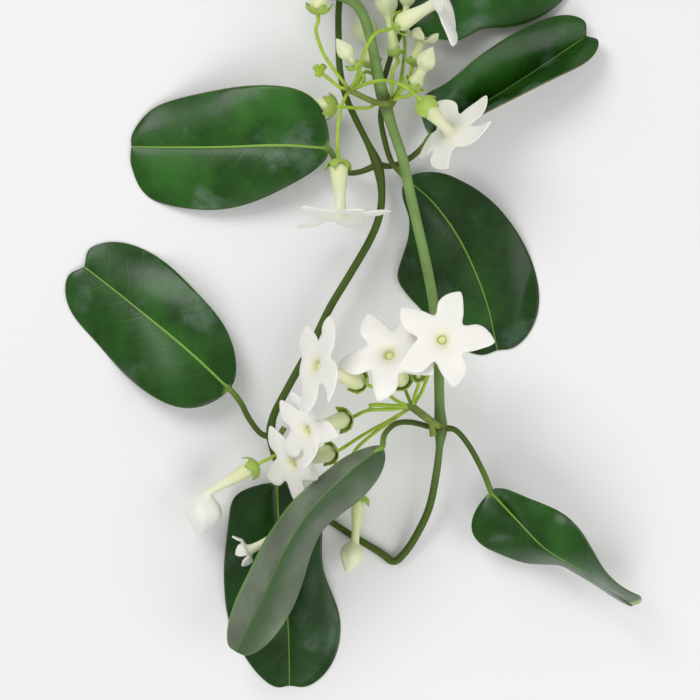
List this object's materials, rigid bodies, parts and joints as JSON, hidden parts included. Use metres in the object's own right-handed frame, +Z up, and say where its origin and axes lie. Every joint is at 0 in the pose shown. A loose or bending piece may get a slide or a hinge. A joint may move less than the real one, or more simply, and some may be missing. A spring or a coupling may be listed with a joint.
{
  "type": "madagascar jasmine spray",
  "caption": "Twining evergreen vine cut from its plant and lying flat: a looped green stem with opposite glossy oval leaves and bunches of waxy white tubular star flowers and buds.",
  "frame": {"origin": "centre of the spray's bounding box, on the surface it lies on", "axes": "+Y along the length of the spray, from the low leaf to the flowers at the top of the picture; +X to the picture's right; +Z up off the surface"},
  "size_m": [0.2608, 0.3485, 0.0699],
  "materials": {
    "stem": "satin green bark",
    "leaf": "glossy",
    "leaf_back": "semi-matt underside",
    "stalk": "satin",
    "petal": "waxy satin",
    "bud": "waxy satin"
  },
  "bodies": {
    "root": {"vine": "stem", "leaf_upper_left": "leaf", "leaf_left": "leaf", "leaf_upper_right": "leaf", "leaf_top": "leaf", "leaf_middle_right": "leaf", "leaf_lower_right": "leaf", "leaf_front": "leaf_back", "leaf_bottom": "leaf", "stalks_upper": "stalk", "stalks_lower": "stalk", "stalks_back": "stalk", "flower_top": "petal", "flower_thrown": "petal", "flower_facing_away": "petal", "flower_hanging": "petal", "flower_half_open": "petal", "flower_facing": "petal", "flower_left_of_facing": "petal", "flower_sideways": "petal", "flower_upper_twin": "petal", "flower_lower_twin": "petal", "flower_hidden": "petal", "bud_pale": "bud", "bud_behind": "bud", "bud_top_left": "bud", "bud_top_right": "bud", "bud_right": "bud", "bud_tucked": "petal", "bud_small": "bud", "bud_hanging": "bud", "bud_cream": "petal"}
  },
  "joints": []
}
